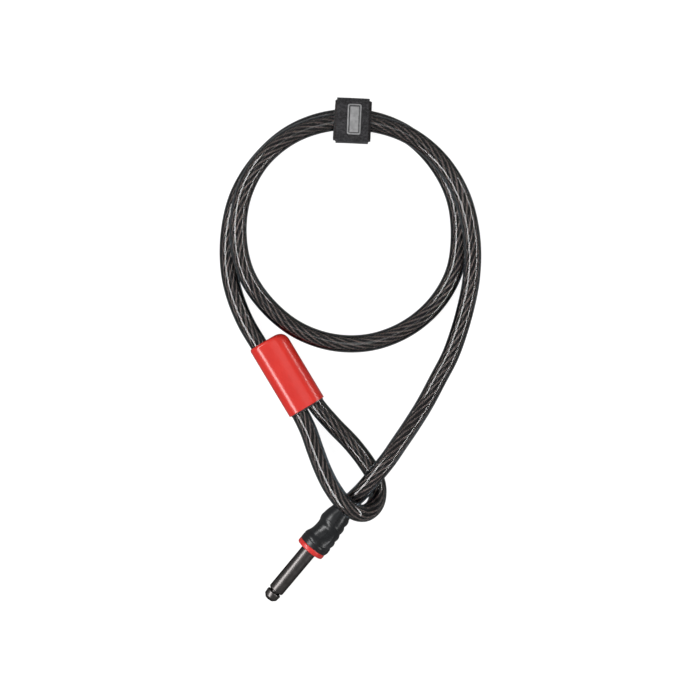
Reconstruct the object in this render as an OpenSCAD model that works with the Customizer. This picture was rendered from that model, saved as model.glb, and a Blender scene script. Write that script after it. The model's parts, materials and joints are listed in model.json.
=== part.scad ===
// Plug-in security cable: a jacketed wire rope with a crimped eye at one end and a locking pin at the other.
// It lies flat in two turns, with its pin end drawn through the eye and a hook-and-loop strap round them.

/* [Cable] */
// Outside diameter of the plastic jacket
jacket_d = 12; // [11.6:0.1:12]
// Wall thickness of the jacket
jacket_wall = 2.9; // [2.5:0.1:3.2]

/* [Locking pin] */
// Diameter of the pin's shaft
pin_d = 9.5; // [8:0.1:10.5]
// Length from the tip of the pin to the red ring
pin_reach = 44.4; // [40:0.1:46]
// Diameter of the pin at the bottom of its locking groove
groove_d = 6.9; // [5:0.1:7.4]
// Width of the locking groove
groove_w = 2.3; // [1.5:0.1:4]
// Length of the head in front of the groove
head_l = 5.4; // [4:0.1:7]

/* [Grip] */
// Diameter of the grip's base collar
grip_d = 20.8; // [19:0.1:21.4]
// Distance from the tip of the pin to the back of the grip
grip_end = 82; // [80:0.5:82]
// Number of finger ribs on the outer side
rib_count = 4; // [2:1:5]

/* [Crimp sleeve] */
// Length of the red cover
cover_l = 53.7; // [48:0.1:55]
// Width of the red cover across both legs
cover_w = 27.3; // [27.1:0.1:28.5]
// Height of the red cover
cover_h = 16; // [15:0.1:16]

/* [Strap] */
// Width of the strap's inner loop
band_w = 25.5; // [20:0.5:28]
// Width of the closing flap
flap_w = 22.3; // [16:0.1:25]
// Thickness of the strap's inner band
band_t = 0.9; // [0.6:0.1:1]
// Thickness of the closing flap
flap_t = 1; // [0.6:0.1:1]
// Outside size of the closed strap across the turns
strap_y = 30.4; // [29:0.1:32]
// Outside height of the closed strap
strap_z = 28.4; // [28.4:0.1:29.4]

/* [Hidden] */
$fn = 64;
gap = 0.05;
jacket_r = jacket_d / 2;
core_r = jacket_r - jacket_wall;
rope_r = core_r - 0.1;
pile_t = 0.4;
tube_sides = 12;

// The pin rests on its head and on the grip's collar, so the plug points slightly upwards to the back.
plug_tip = [-56, -170.7, 4.6];
plug_heading = 50.3;
plug_pitch = 7;
plug_flat = cos(plug_pitch);
plug_dir = [plug_flat * cos(plug_heading), plug_flat * sin(plug_heading), sin(plug_pitch)];
tip_d = 5.2;
tip_chamfer = 1.6;
ring_l = 3;
ring_d = 20.3;
seat_d = pin_d - 1.3;
shank_d = 7;
shank_l = 10;
socket_d = 13;
socket_front = pin_reach + ring_l + gap;
socket_back = grip_end - 12;
rope_depth = 12;
scoop_turn = 50;

// The sleeve lies flat, turned so that its two bores point at the turns above and the eye below.
sleeve_mid = [-43.85, -16, cover_h / 2];
sleeve_turn = 31;
bore_x = 6.2;
bore_d = jacket_d + 0.3;
sleeve_wall = 0.6;
sleeve_w = 2 * bore_x + bore_d + 2 * sleeve_wall;
sleeve_h = bore_d + 2 * sleeve_wall;
foot_depth = 3;
cap_depth = 6.5;
cut_depth = 9;
sleeve_foot = foot_depth - cover_l / 2;
sleeve_top = cover_l / 2 - cap_depth;
cut_end = cover_l / 2 - cut_depth;

turns_mid = [0, 79];

// The strap's layers lie one inside the other, and its flap folds back about a line on the far top corner.
strap_mid = [1.4, 157.3];
strap_skew = -2.4;
corner_r = 6.5;
fold_turn = 25;
flap_end = 9.4;
pile_end = 6.2;
corner_at = [strap_y / 2 - corner_r, strap_z - corner_r];
pile_inset = flap_t + pile_t + 2 * gap;
band_inset = pile_inset + pile_t + gap;
patch_w = 9;
patch_l = 20.4;
patch_t = 0.8;
patch_at = [1.1, 0.3];

function unit(v) = v / norm(v);
function plug_at(s) = plug_tip + s * plug_dir;
function sleeve_at(x, y) = sleeve_mid + [x * cos(sleeve_turn) - y * sin(sleeve_turn),
                                         x * sin(sleeve_turn) + y * cos(sleeve_turn), 0];
function on_turn(t) = [turns_mid.x + t[1] * cos(t[0]), turns_mid.y + t[1] * sin(t[0]), t[2]];

// From the grip, over the eye's right leg and out to the turns.
lead = [
    [9.2, -95, 17.4], [16.8, -85.8, 19.2], [25.9, -74.6, 18.9], [33.1, -64.2, 16.2], [42, -51.3, 11.6],
    [50.6, -37.7, 8.2], [60.5, -19.3, 6.3], [68.2, -4.6, 6], [74.7, 13.1, 6], [78.9, 28, 6.8]
];
// Both turns, as angle, radius and height; the first lies on the second, except along the bottom.
turns = [
    [-20, 88.2, 10.2], [0, 82.8, 15.8], [20, 80.6, 18.2], [40, 79.6, 18.5], [60, 78.9, 18.9],
    [80, 77.7, 19.1], [100, 78.1, 19.1], [120, 79.1, 18.9], [140, 79.5, 18.5], [160, 78.5, 18.2],
    [180, 77.1, 17], [200, 76.4, 12.6], [220, 74.8, 8], [240, 74.5, 6], [260, 74.5, 6], [280, 74.7, 6],
    [300, 74.8, 6], [320, 75.2, 6], [340, 75.6, 6], [360, 74.9, 6], [380, 76.2, 6], [400, 77.6, 6],
    [420, 79.8, 6.4], [440, 80.9, 7.1], [460, 81.2, 7.1], [480, 81.3, 6.4], [500, 80.9, 6], [520, 82, 6],
    [540, 83.6, 6], [560, 87.8, 6], [580, 93.8, 7.2]
];
// From the sleeve's left bore, up over the back of the grip, round and down under the lead to the right bore.
eye = [
    [-29.2, -54.5, 10], [-24.3, -68, 14.5], [-18.8, -82, 20.5], [-12.5, -94, 26], [-4.5, -104.4, 29],
    [3.1, -110.1, 28], [9.6, -111.3, 23], [15.3, -108, 16.6], [18.5, -101.3, 9.6], [18.6, -93.6, 6.4],
    [16, -85.6, 6], [11.2, -77.8, 6], [1.4, -65, 6.2], [-12.4, -50.6, 7.2]
];
jacket_route = concat(
    [plug_at(socket_back + 0.2), plug_at(grip_end)],
    lead,
    [for (t = turns) on_turn(t)],
    [sleeve_at(-bore_x, cover_l / 2), sleeve_at(-bore_x, 0), sleeve_at(-bore_x, -cover_l / 2)],
    eye,
    [sleeve_at(bore_x, -cover_l / 2), sleeve_at(bore_x, 0), sleeve_at(bore_x, cut_end)]
);
rope_route = concat([plug_at(socket_back - rope_depth)], jacket_route);

// Direction of a route at point i, halfway between the stretches that meet there.
function heading_at(route, i) =
    let (last = len(route) - 1,
         before = i > 0 ? unit(route[i] - route[i - 1]) : [0, 0, 0],
         after = i < last ? unit(route[i + 1] - route[i]) : [0, 0, 0])
    unit(before + after);

function ring_at(route, i, r) =
    let (t = heading_at(route, i),
         side = unit(cross(t, [0, 0, 1])),
         up = cross(side, t))
    [for (k = [0:tube_sides - 1])
        let (a = 360 * k / tube_sides)
        route[i] + r * (cos(a) * side + sin(a) * up)];

// Two triangles between neighbouring corners k and k + 1 of the rings that start at points a and b.
function strip(a, b, k) =
    let (n = (k + 1) % tube_sides)
    [[a + k, b + k, b + n], [a + k, b + n, a + n]];

// A tube along a route, solid when the inner radius is 0.
module swept(route, r, inner = 0) {
    last = len(route) - 1;
    outside = [for (i = [0:last]) each ring_at(route, i, r)];
    inside = inner > 0 ? [for (i = [0:last]) each ring_at(route, i, inner)] : [];
    bore = len(outside);
    end = last * tube_sides;
    walls = [for (i = [0:last - 1], k = [0:tube_sides - 1])
        each strip(i * tube_sides, (i + 1) * tube_sides, k)];
    lining = inner > 0
        ? [for (i = [0:last - 1], k = [0:tube_sides - 1])
            each strip(bore + (i + 1) * tube_sides, bore + i * tube_sides, k)]
        : [];
    ends = inner > 0
        ? [for (k = [0:tube_sides - 1]) each concat(strip(bore, 0, k), strip(end, bore + end, k))]
        : [for (k = [1:tube_sides - 2]) each [[0, k, k + 1], [end, end + k + 1, end + k]]];
    polyhedron(points = concat(outside, inside), faces = concat(walls, lining, ends));
}

// Children drawn along +Z from the tip of the pin, with -X up and +Y to the left of the plug.
module on_plug(s = 0) {
    translate(plug_at(s)) rotate([0, 90 - plug_pitch, plug_heading]) children();
}

// Children drawn across in X and along the bores in Y.
module on_sleeve() {
    translate(sleeve_mid) rotate([0, 0, sleeve_turn]) children();
}

module lying_bar(x, d, from, to) {
    translate([x, to, 0]) rotate([90, 0, 0]) cylinder(d = d, h = to - from);
}

module cable_jacket() {
    color([0.20, 0.21, 0.23]) swept(jacket_route, jacket_r, core_r);
}

module wire_rope() {
    color([0.45, 0.38, 0.36]) swept(rope_route, rope_r);
}

// Oval block seen along the bores, with its long side across.
module oval_bar(w, h, from, to) {
    lying_bar(-(w - h) / 2, h, from, to);
    lying_bar((w - h) / 2, h, from, to);
    translate([-(w - h) / 2, from, -h / 2]) cube([w - h, to - from, h]);
}

module crimp_sleeve() {
    color("silver") on_sleeve() difference() {
        oval_bar(sleeve_w, sleeve_h, sleeve_foot, sleeve_top);
        lying_bar(-bore_x, bore_d, sleeve_foot - 1, sleeve_top + 1);
        lying_bar(bore_x, bore_d, sleeve_foot - 1, sleeve_top + 1);
    }
}

// The red cover: open below, and above only round the leg that runs on to the turns.
module sleeve_cover() {
    half = cover_l / 2;
    shoulder = 7;
    corner = 1.5;
    color([0.86, 0.17, 0.15]) on_sleeve() difference() {
        intersection() {
            oval_bar(cover_w, cover_h, -half, half);
            linear_extrude(cover_h, center = true) hull() {
                translate([-cover_w / 2 + corner, half - corner]) circle(corner);
                translate([cover_w / 2 - shoulder, half - shoulder]) circle(shoulder);
                translate([-cover_w / 2, -half]) square([cover_w, 1]);
            }
        }
        oval_bar(sleeve_w + 2 * gap, sleeve_h + 2 * gap, -half - 1, sleeve_top + gap);
        lying_bar(-bore_x, bore_d, 0, half + 1);
    }
}

module locking_pin() {
    r = pin_d / 2;
    back = pin_reach + ring_l;
    color([0.13, 0.12, 0.12]) on_plug() rotate_extrude() polygon([
        [0, 0], [tip_d / 2, 0], [r, tip_chamfer], [r, head_l],
        [groove_d / 2, head_l], [groove_d / 2, head_l + groove_w], [r, head_l + groove_w], [r, pin_reach],
        [seat_d / 2, pin_reach], [seat_d / 2, back], [shank_d / 2, back], [shank_d / 2, back + shank_l],
        [0, back + shank_l]
    ]);
}

// Steel socket that joins the pin's shank to the wire rope inside the grip.
module rope_socket() {
    color("gray") on_plug() difference() {
        translate([0, 0, socket_front]) cylinder(d = socket_d, h = socket_back - socket_front);
        translate([0, 0, socket_front - 1]) cylinder(d = shank_d + 2 * gap, h = shank_l + 1.1);
        translate([0, 0, socket_back - rope_depth - 0.1]) cylinder(r = rope_r + gap, h = rope_depth + 1);
    }
}

module pin_ring() {
    edge = 0.6;
    r = ring_d / 2;
    hole = seat_d / 2 + gap;
    color([0.92, 0.22, 0.2]) on_plug(pin_reach) rotate_extrude() polygon([
        [hole, 0], [r - edge, 0], [r, edge], [r, ring_l - edge], [r - edge, ring_l], [hole, ring_l]
    ]);
}

// Moulded grip: collar in front, thumb scoop on the upper left, finger ribs on the right.
module grip_boot() {
    front = pin_reach + ring_l + gap;
    r = grip_d / 2;
    notch_r = 2;
    notch_pitch = 6;
    scoop_r = 15;
    scoop_s = 61.5;
    waist = 7.6;
    first_notch = front + 6.8;
    notch_lift = 0.4;
    notch_taper = 0.1;
    // Distances from the collar's front, and how far the outside lies in from the collar's radius.
    body = [[0, 0.6], [0.6, 0], [4.5, 0], [10, -0.3], [16, 0], [22, 0.9], [26.5, 1.6]];
    neck = [[2, 2.7], [0, 3.6]];
    outline = concat(
        [[0, front]],
        [for (p = body) [r - p[1], front + p[0]]],
        [for (p = neck) [r - p[1], grip_end - p[0]]],
        [[0, grip_end]]
    );
    color([0.16, 0.17, 0.18]) on_plug() difference() {
        rotate_extrude() polygon(outline);
        translate([0, 0, front - 1]) cylinder(d = socket_d + 0.2, h = socket_back - front + 1.1);
        translate([0, 0, front]) cylinder(d = jacket_d + 0.2, h = grip_end);
        rotate([0, 0, scoop_turn]) translate([-waist - scoop_r, 0, scoop_s]) rotate([90, 0, 0])
            cylinder(r = scoop_r, h = 2 * grip_d, center = true);
        for (i = [0:rib_count - 1])
            translate([0, notch_taper * i * i + notch_lift - r - notch_r, first_notch + notch_pitch * i])
                rotate([0, 90, 0]) cylinder(r = notch_r, h = 2 * grip_d, center = true);
    }
}

// Outline of the strap seen along the cable, inset from its outside; only its foot goes down to the floor.
module strap_outline(inset, foot = 0) {
    half = strap_y / 2 - inset;
    r = corner_r - inset;
    top = strap_z - inset;
    for (y = [-1, 1], z = [foot + r, top - r])
        translate([y * (half - r), z]) circle(r);
    translate([-half, foot + r]) square([2 * half, top - foot - 2 * r]);
    translate([r - half, foot]) square([2 * (half - r), top - foot]);
}

module strap_layer(outer, inner, foot = 0) {
    difference() {
        strap_outline(outer);
        strap_outline(inner, foot);
    }
}

// Children drawn as seen along the cable: across the turns in X, upwards in Y.
module on_strap(w) {
    translate([strap_mid.x, strap_mid.y, 0]) rotate([0, 0, strap_skew]) rotate([90, 0, 90])
        linear_extrude(w, center = true) children();
}

// What lies between two directions from the far top corner's middle, measured from straight up.
module corner_wedge(from, to) {
    reach = strap_z;
    translate(corner_at) polygon([[0, 0], reach * [sin(from), cos(from)], reach * [sin(to), cos(to)]]);
}

// What moves with the flap: the near side above a height, the top, and the far corner up to the fold.
module flap_side(end_z) {
    translate([-strap_y, end_z]) square([strap_y + corner_at.x, strap_z]);
    corner_wedge(0, fold_turn);
}

module strap_band() {
    color([0.10, 0.10, 0.11]) on_strap(band_w) strap_layer(band_inset, band_inset + band_t, band_t);
}

// Loop pile on the outside of the band, which the hooks grip.
module strap_loop_pad() {
    margin = 1;
    color([0.14, 0.14, 0.15]) on_strap(band_w - 2 * margin) intersection() {
        strap_layer(pile_inset, pile_inset + pile_t);
        translate([-strap_y, pile_end]) square([2 * strap_y, strap_z]);
    }
}

// The sewn start of the outer layer, on the far side, which stays on the band.
module strap_sewn_end() {
    seam = 0.5;
    color([0.12, 0.12, 0.13]) on_strap(flap_w) intersection() {
        strap_layer(0, pile_inset - gap);
        union() {
            translate([corner_at.x, pile_end]) square([strap_y, corner_at.y - pile_end]);
            corner_wedge(fold_turn + seam, 90);
        }
    }
}

module strap_flap() {
    color([0.12, 0.12, 0.13]) on_strap(flap_w) intersection() {
        strap_layer(0, flap_t);
        flap_side(flap_end);
    }
}

// Hooks on the inside of the flap's free end.
module strap_hook_pad() {
    margin = 2;
    color([0.08, 0.08, 0.09]) on_strap(flap_w - 2 * margin) intersection() {
        strap_layer(flap_t + gap, flap_t + gap + pile_t);
        translate([-strap_y, flap_end + margin / 2]) square([strap_y / 2 + corner_r, strap_z]);
    }
}

module flap_patch() {
    corner = 1.5;
    color([0.72, 0.72, 0.74])
        translate([strap_mid.x, strap_mid.y, strap_z + gap]) rotate([0, 0, strap_skew]) translate(patch_at)
            linear_extrude(patch_t) offset(corner)
                square([patch_w - 2 * corner, patch_l - 2 * corner], center = true);
}

cable_jacket();
wire_rope();
crimp_sleeve();
sleeve_cover();
locking_pin();
rope_socket();
grip_boot();
pin_ring();
strap_band();
strap_loop_pad();
strap_sewn_end();
strap_flap();
strap_hook_pad();
flap_patch();
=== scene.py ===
import json
import math

import bmesh
import bpy
from mathutils import Matrix, Vector, noise


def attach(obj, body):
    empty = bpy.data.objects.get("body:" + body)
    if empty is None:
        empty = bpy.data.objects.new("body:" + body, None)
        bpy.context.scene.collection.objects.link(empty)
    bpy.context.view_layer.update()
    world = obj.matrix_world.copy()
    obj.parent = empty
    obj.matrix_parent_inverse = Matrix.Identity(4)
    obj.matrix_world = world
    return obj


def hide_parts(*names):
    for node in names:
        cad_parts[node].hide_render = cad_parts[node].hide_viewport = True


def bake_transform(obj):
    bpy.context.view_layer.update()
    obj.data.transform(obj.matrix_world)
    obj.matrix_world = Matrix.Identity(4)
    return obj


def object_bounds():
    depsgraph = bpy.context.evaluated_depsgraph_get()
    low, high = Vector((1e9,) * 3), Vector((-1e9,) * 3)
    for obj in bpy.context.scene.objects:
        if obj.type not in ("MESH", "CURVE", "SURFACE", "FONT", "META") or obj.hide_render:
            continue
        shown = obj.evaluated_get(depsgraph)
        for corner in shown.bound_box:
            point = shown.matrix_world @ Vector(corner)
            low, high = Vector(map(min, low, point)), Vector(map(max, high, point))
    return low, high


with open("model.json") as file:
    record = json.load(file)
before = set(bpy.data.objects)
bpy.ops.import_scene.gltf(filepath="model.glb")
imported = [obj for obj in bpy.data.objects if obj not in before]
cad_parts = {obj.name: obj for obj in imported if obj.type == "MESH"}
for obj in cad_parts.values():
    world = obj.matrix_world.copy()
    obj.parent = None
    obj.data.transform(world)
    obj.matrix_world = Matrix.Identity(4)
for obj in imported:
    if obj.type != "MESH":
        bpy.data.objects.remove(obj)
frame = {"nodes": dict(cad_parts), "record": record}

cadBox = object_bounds()
scene = bpy.context.scene
mm = 0.001


class Wire:
    # a socket in an expression: each operator adds its Math node
    def __init__(self, tree, socket):
        self.tree = tree
        self.socket = socket

    def also(self, name):
        # another output of the same node
        return Wire(self.tree, self.socket.node.outputs[name])

    def maths(self, operation, *terms):
        return addNode(self.tree, "ShaderNodeMath", {"operation": operation}, dict(enumerate(terms)))

    def cosine(self):
        return self.maths("COSINE", self)

    def sine(self):
        return self.maths("SINE", self)

    def __add__(self, other):
        return self.maths("ADD", self, other)

    def __sub__(self, other):
        return self.maths("SUBTRACT", self, other)

    def __rsub__(self, other):
        return self.maths("SUBTRACT", other, self)

    def __mul__(self, other):
        return self.maths("MULTIPLY", self, other)

    def __truediv__(self, other):
        return self.maths("DIVIDE", self, other)

    def __rtruediv__(self, other):
        return self.maths("DIVIDE", other, self)

    __radd__ = __add__
    __rmul__ = __mul__


def addNode(tree, kind, settings=None, sockets=None, out=0):
    # settings come first, because some of them change which sockets there are
    node = tree.nodes.new(kind)
    for name, value in (settings or {}).items():
        if name == "stops":
            ramp = node.color_ramp
            while len(ramp.elements) < len(value):
                ramp.elements.new(0.5)
            for stop, (place, colour) in zip(ramp.elements, value):
                stop.position = place
                stop.color = (*colour, 1)
        elif name == "captures":
            for dataType, label in value:
                node.capture_items.new(dataType, label)
        else:
            setattr(node, name, value)
    for name, value in (sockets or {}).items():
        socket = node.inputs[name]
        if isinstance(value, Wire):
            tree.links.new(value.socket, socket)
        else:
            socket.default_value = value
    return Wire(tree, node.outputs[out]) if len(node.outputs) else node


def newMaterial(name):
    material = bpy.data.materials.new(name)
    material.use_nodes = True
    material.node_tree.nodes.clear()
    return material, material.node_tree


def finishMaterial(material, sockets, volume=None):
    tree = material.node_tree
    ends = {"Surface": addNode(tree, "ShaderNodeBsdfPrincipled", {}, sockets)}
    if volume:
        ends["Volume"] = volume
    addNode(tree, "ShaderNodeOutputMaterial", {}, ends)
    return material


def noiseField(tree, scale, detail=3, roughness=0.5):
    place = addNode(tree, "ShaderNodeTexCoord").also("Object")
    return addNode(tree, "ShaderNodeTexNoise", {},
                   {"Vector": place, "Scale": scale, "Detail": detail, "Roughness": roughness})


def mapRange(tree, value, start, end, low, high):
    return addNode(tree, "ShaderNodeMapRange", {}, {0: value, 1: start, 2: end, 3: low, 4: high})


def spread(tree, field, low, high):
    # noise keeps mostly between 0.3 and 0.7, and this stretches it from low to high
    return mapRange(tree, field, 0.3, 0.7, low, high)


def blendColours(tree, factor, first, second):
    # sockets 6 and 7 are the colours of a Mix node, and output 2 is its colour
    return addNode(tree, "ShaderNodeMix", {"data_type": "RGBA"},
                   {0: factor, 6: (*first, 1), 7: (*second, 1)}, out=2)


def mottled(tree, field, first, second):
    return blendColours(tree, spread(tree, field, 0, 1), first, second)


def bump(tree, height, strength, distance):
    return addNode(tree, "ShaderNodeBump", {}, {"Strength": strength, "Distance": distance, "Height": height})


def smokyJacket():
    # clear plastic all through, with the smoke as an absorbing volume
    material, tree = newMaterial("smokyJacket")
    haze = noiseField(tree, 90, 4)
    scuffs = noiseField(tree, 160, 2)
    smoke = addNode(tree, "ShaderNodeVolumeAbsorption", {},
                    {"Color": (0.32, 0.38, 0.42, 1), "Density": 225.0})
    return finishMaterial(material, {
        "Base Color": (0.96, 0.97, 0.98, 1), "Roughness": spread(tree, haze, 0.0, 0.02), "IOR": 1.48,
        "Transmission Weight": 1.0, "Coat Weight": 0.5, "Coat Roughness": 0.05, "Coat IOR": 1.6,
        "Normal": bump(tree, scuffs, 0.005, 0.0002)
    }, smoke)


def ropePaintedLight():
    # painted light: bright as a painted highlight where a wire's crest lies outermost, near black as painted
    # shade in the grooves between wires
    material, tree = newMaterial("ropePaintedLight")
    patches = noiseField(tree, 420, 2)
    grain = noiseField(tree, 2600, 2)
    outermost = addNode(tree, "ShaderNodeAttribute", {"attribute_name": "outermost"}).also("Fac")
    # the bright colour is a painted highlight on the wire crests, the black a painted shade in the grooves
    paintedCrestLight = mapRange(tree, outermost + patches * 0.3, 0.93, 1.13, 0.0, 1.0)
    colour = blendColours(tree, paintedCrestLight, (0.045, 0.036, 0.034), (0.80, 0.58, 0.51))
    return finishMaterial(material, {
        "Base Color": colour, "Metallic": 0.75, "Roughness": spread(tree, grain, 0.30, 0.45),
        "Normal": bump(tree, grain, 0.2, 0.00005)
    })


def redVinyl():
    material, tree = newMaterial("redVinyl")
    flow = noiseField(tree, 60, 2)
    colour = mottled(tree, flow, (0.72, 0.016, 0.008), (0.80, 0.024, 0.012))
    return finishMaterial(material, {
        "Base Color": colour, "Roughness": 0.32, "Coat Weight": 1.0, "Coat Roughness": 0.19,
        "Normal": bump(tree, flow, 0.03, 0.0004)
    })


def ringPlastic():
    material, tree = newMaterial("ringPlastic")
    flow = noiseField(tree, 300, 2)
    colour = mottled(tree, flow, (0.74, 0.030, 0.026), (0.80, 0.045, 0.038))
    return finishMaterial(material, {
        "Base Color": colour, "Roughness": spread(tree, flow, 0.28, 0.36), "Coat Weight": 0.3
    })


def blackChrome():
    material, tree = newMaterial("blackChrome")
    hairlines = noiseField(tree, 1800, 2)
    wear = noiseField(tree, 240, 4)
    colour = mottled(tree, wear, (0.125, 0.116, 0.114), (0.16, 0.15, 0.148))
    return finishMaterial(material, {
        "Base Color": colour, "Metallic": 1.0, "Roughness": spread(tree, wear, 0.28, 0.34),
        "Specular Tint": (0.10, 0.09, 0.09, 1),  # darker towards the edges
        "Normal": bump(tree, hairlines, 0.02, 0.00005)
    })


def gripPlastic():
    material, tree = newMaterial("gripPlastic")
    sparks = noiseField(tree, 2200, 3)
    wear = noiseField(tree, 130, 3)
    colour = mottled(tree, wear, (0.008, 0.009, 0.010), (0.013, 0.014, 0.016))
    return finishMaterial(material, {
        "Base Color": colour, "Roughness": spread(tree, wear, 0.26, 0.31), "Specular IOR Level": 0.6,
        "Normal": bump(tree, sparks, 0.012, 0.00006)
    })


def clearSeal():
    material, tree = newMaterial("clearSeal")
    lumps = noiseField(tree, 420, 3)
    colour = mottled(tree, lumps, (0.020, 0.021, 0.023), (0.10, 0.10, 0.105))
    return finishMaterial(material, {
        "Base Color": colour, "Roughness": 0.12, "Coat Weight": 0.8, "Coat Roughness": 0.05,
        "Normal": bump(tree, lumps, 0.5, 0.0006)
    })


def plainMetal(name, light, dark, roughness):
    # for the two metal parts that stay out of sight
    material, tree = newMaterial(name)
    turned = noiseField(tree, 900, 3)
    colour = mottled(tree, turned, dark, light)
    return finishMaterial(material, {
        "Base Color": colour, "Metallic": 1.0,
        "Roughness": spread(tree, turned, roughness - 0.06, roughness + 0.06)
    })


def strapCloth(name, dark, light, threads):
    # twill lines follow the strap's own map: u across, v along
    material, tree = newMaterial(name)
    uv = addNode(tree, "ShaderNodeUVMap", {"uv_map": "strapMap"})
    wave = addNode(tree, "ShaderNodeTexWave", {"wave_type": "BANDS", "bands_direction": "DIAGONAL"},
                   {"Vector": uv, "Scale": threads, "Distortion": 1.2, "Detail": 2, "Detail Scale": 3})
    fuzz = noiseField(tree, 1000, 3, 0.6)
    worn = noiseField(tree, 140, 3)
    height = wave.also("Fac") * 0.35 + fuzz * 1.3
    raised = mapRange(tree, height + worn * 0.4, 0.85, 1.25, 0.0, 1.0)
    return finishMaterial(material, {
        "Base Color": blendColours(tree, raised, dark, light), "Roughness": 0.92,
        "Sheen Weight": 0.12, "Sheen Roughness": 0.4, "Sheen Tint": (0.8, 0.85, 0.9, 1),
        "Normal": bump(tree, height, 0.55, 0.00025)
    })


def patchRubber():
    material, tree = newMaterial("patchRubber")
    rub = noiseField(tree, 500, 4)
    colour = mottled(tree, rub, (0.34, 0.34, 0.345), (0.52, 0.52, 0.525))
    return finishMaterial(material, {
        "Base Color": colour, "Metallic": 0.6, "Roughness": spread(tree, rub, 0.3, 0.45)
    })


finishes = {
    "jacket": smokyJacket(), "rope": ropePaintedLight(), "vinyl": redVinyl(), "ring": ringPlastic(),
    "chrome": blackChrome(), "grip": gripPlastic(), "patch": patchRubber(), "seal": clearSeal(),
    "crimp": plainMetal("crimpMetal", (0.80, 0.81, 0.82), (0.62, 0.63, 0.65), 0.32),
    "socket": plainMetal("socketSteel", (0.55, 0.55, 0.56), (0.38, 0.38, 0.39), 0.36),
    "cloth": strapCloth("strapCloth", (0.002, 0.002, 0.0025), (0.066, 0.063, 0.068), 5),
    "pile": strapCloth("strapPile", (0.008, 0.006, 0.006), (0.050, 0.040, 0.040), 3),
    "thread": strapCloth("strapThread", (0.012, 0.012, 0.013), (0.05, 0.05, 0.055), 20),
    "hook": strapCloth("hookNylon", (0.008, 0.008, 0.009), (0.02, 0.02, 0.022), 12),
}
print("finishes made")


def newObject(name, points, faces, finish, smooth=True):
    mesh = bpy.data.meshes.new(name)
    mesh.from_pydata([tuple(p) for p in points], [], faces)
    mesh.validate()
    piece = bpy.data.objects.new(name, mesh)
    scene.collection.objects.link(piece)
    mesh.materials.append(finishes[finish])
    if smooth:
        mesh.shade_smooth()
    return piece


def faceOutwards(piece):
    work = bmesh.new()
    work.from_mesh(piece.data)
    bmesh.ops.remove_doubles(work, verts=work.verts, dist=1e-7)
    bmesh.ops.recalc_face_normals(work, faces=work.faces)
    work.to_mesh(piece.data)
    work.free()


def bakeModifiers(piece):
    # the evaluated mesh becomes the piece's own plain mesh, and a curve gives way to a mesh object
    shown = piece.evaluated_get(bpy.context.evaluated_depsgraph_get())
    mesh = bpy.data.meshes.new_from_object(shown)
    mesh.name = piece.name
    if piece.type == "MESH":
        piece.modifiers.clear()
        piece.data = mesh
        return piece
    plain = bpy.data.objects.new(piece.name, mesh)
    scene.collection.objects.link(plain)
    bpy.data.objects.remove(piece)
    plain.name = mesh.name
    return plain


def stackRings(rings, closed=False):
    # quads between rings of equal count, each ring a closed loop of points
    count = len(rings[0])
    points = [p for ring in rings for p in ring]
    last = len(rings) if closed else len(rings) - 1
    faces = []
    for i in range(last):
        a, b = i * count, (i + 1) % len(rings) * count
        for k in range(count):
            n = (k + 1) % count
            faces.append((a + k, a + n, b + n, b + k))
    return points, faces


def endCaps(points, rings):
    # one face on the first ring and one on the last
    count = len(rings[0])
    return [tuple(range(count))[::-1], tuple(range(len(points) - count, len(points)))]


def roundCorners(outline, radii, steps=5):
    # outline of (radius, along) corners, each turned by an arc of its own radius
    done = []
    for i, corner in enumerate(outline):
        here = Vector(corner)
        radius = radii[i]
        if radius == 0:
            done.append(here)
            continue
        before = (Vector(outline[i - 1]) - here).normalized()
        after = (Vector(outline[(i + 1) % len(outline)]) - here).normalized()
        half = before.angle(after) / 2
        reach = radius / math.tan(half)
        centre = here + (before + after).normalized() * radius / math.sin(half)
        start, end = here + before * reach - centre, here + after * reach - centre
        for k in range(steps + 1):
            done.append(centre + start.slerp(end, k / steps))
    return done


def lathe(name, outline, place, finish, sides=96):
    # closed outline of (radius, along) in mm, turned about the place's own Z axis
    rings = []
    for radius, along in outline:
        ring = []
        for k in range(sides):
            a = 2 * math.pi * k / sides
            ring.append(place @ Vector((radius * math.cos(a), radius * math.sin(a), along)))
        rings.append(ring)
    points, faces = stackRings(rings, closed=True)
    piece = newObject(name, points, faces, finish)
    faceOutwards(piece)
    return piece


# the cable's middle, in mm: from the grip, round the coil, through the cover and round the eye
lead = [
    (9.2, -95, 17.4), (16.8, -85.8, 19.2), (25.9, -74.6, 18.9), (33.1, -64.2, 16.2), (42, -51.3, 11.6),
    (50.6, -37.7, 8.2), (60.5, -19.3, 6.3), (68.2, -4.6, 6), (74.7, 13.1, 6), (78.9, 28, 6.8)
]
turns = [  # angle, radius, height round turnsMid
    (-20, 88.2, 10.2), (0, 82.8, 15.8), (20, 80.6, 18.2), (40, 79.6, 18.5), (60, 78.9, 18.9),
    (80, 77.7, 19.1), (100, 78.1, 19.1), (120, 79.1, 18.9), (140, 79.5, 18.5), (160, 78.5, 18.2),
    (180, 77.1, 17), (200, 76.4, 12.6), (220, 74.8, 8), (240, 74.5, 6), (260, 74.5, 6), (280, 74.7, 6),
    (300, 74.8, 6), (320, 75.2, 6), (340, 75.6, 6), (360, 74.9, 6), (380, 76.2, 6), (400, 77.6, 6),
    (420, 79.8, 6.4), (440, 80.9, 7.1), (460, 81.2, 7.1), (480, 81.3, 6.4), (500, 80.9, 6), (520, 82, 6),
    (540, 83.6, 6), (560, 87.8, 6), (580, 93.8, 7.2)
]
eye = [
    (-29.2, -54.5, 10), (-24.3, -68, 14.5), (-18.8, -82, 20.5), (-12.5, -94, 26), (-4.5, -104.4, 29),
    (3.1, -110.1, 28), (9.6, -111.3, 23), (15.3, -108, 16.6), (18.5, -101.3, 9.6), (18.6, -93.6, 6.4),
    (16, -85.6, 6), (11.2, -77.8, 6), (1.4, -65, 6.2), (-12.4, -50.6, 7.2)
]
turnsMid = Vector((0, 79, 0))
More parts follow.
